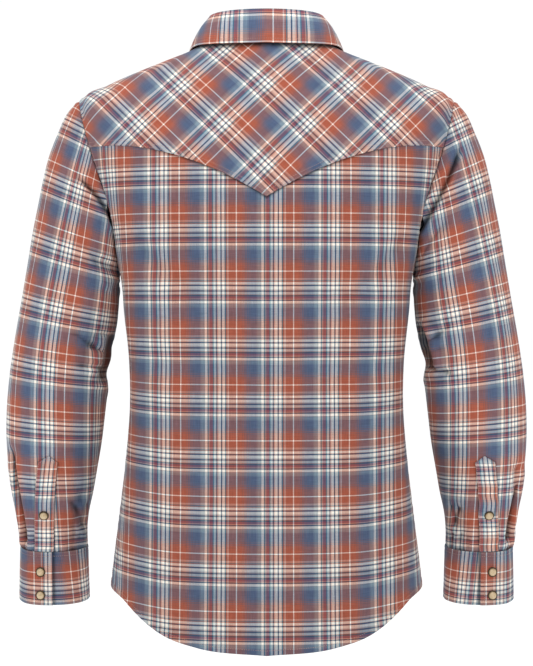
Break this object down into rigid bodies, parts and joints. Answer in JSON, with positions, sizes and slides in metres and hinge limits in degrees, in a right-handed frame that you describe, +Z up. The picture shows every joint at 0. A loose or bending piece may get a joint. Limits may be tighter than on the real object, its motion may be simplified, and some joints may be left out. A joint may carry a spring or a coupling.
{
  "type": "western snap shirt",
  "caption": "Long-sleeved plaid western shirt filled out as if worn, with a pointed back yoke, pointed collar, pearl snaps and curved tails.",
  "frame": {"origin": "centre of the neck hole at the height of the shoulders' high points, where the wearer's shoulders hold the shirt up", "axes": "+Z up, +Y towards the shirt's front, +X towards the wearer's right sleeve"},
  "size_m": [0.6756, 0.2545, 0.7979],
  "materials": {
    "plaid_cloth": "soft brushed cotton plaid in rust, slate blue, navy, cream and burgundy",
    "antique_brass": "dark antiqued metal, worn bright at the rim",
    "pearl": "glossy tan pearl"
  },
  "bodies": {
    "root": {"back": "plaid_cloth", "back_yoke": "plaid_cloth", "front_left": "plaid_cloth", "front_right": "plaid_cloth", "front_band": "plaid_cloth", "collar_stand": "plaid_cloth", "collar_leaf": "plaid_cloth", "sleeve_left": "plaid_cloth", "sleeve_right": "plaid_cloth", "sleeve_placket_left": "plaid_cloth", "sleeve_placket_right": "plaid_cloth", "cuff_left": "plaid_cloth", "cuff_right": "plaid_cloth", "snap_collar_ring": "antique_brass", "snap_front_1_ring": "antique_brass", "snap_front_2_ring": "antique_brass", "snap_front_3_ring": "antique_brass", "snap_front_4_ring": "antique_brass", "snap_front_5_ring": "antique_brass", "snap_front_6_ring": "antique_brass", "snap_placket_left_ring": "antique_brass", "snap_placket_right_ring": "antique_brass", "snap_cuff_left_upper_ring": "antique_brass", "snap_cuff_left_lower_ring": "antique_brass", "snap_cuff_right_upper_ring": "antique_brass", "snap_cuff_right_lower_ring": "antique_brass", "snap_collar_cap": "pearl", "snap_front_1_cap": "pearl", "snap_front_2_cap": "pearl", "snap_front_3_cap": "pearl", "snap_front_4_cap": "pearl", "snap_front_5_cap": "pearl", "snap_front_6_cap": "pearl", "snap_placket_left_cap": "pearl", "snap_placket_right_cap": "pearl", "snap_cuff_left_upper_cap": "pearl", "snap_cuff_left_lower_cap": "pearl", "snap_cuff_right_upper_cap": "pearl", "snap_cuff_right_lower_cap": "pearl"}
  },
  "joints": []
}
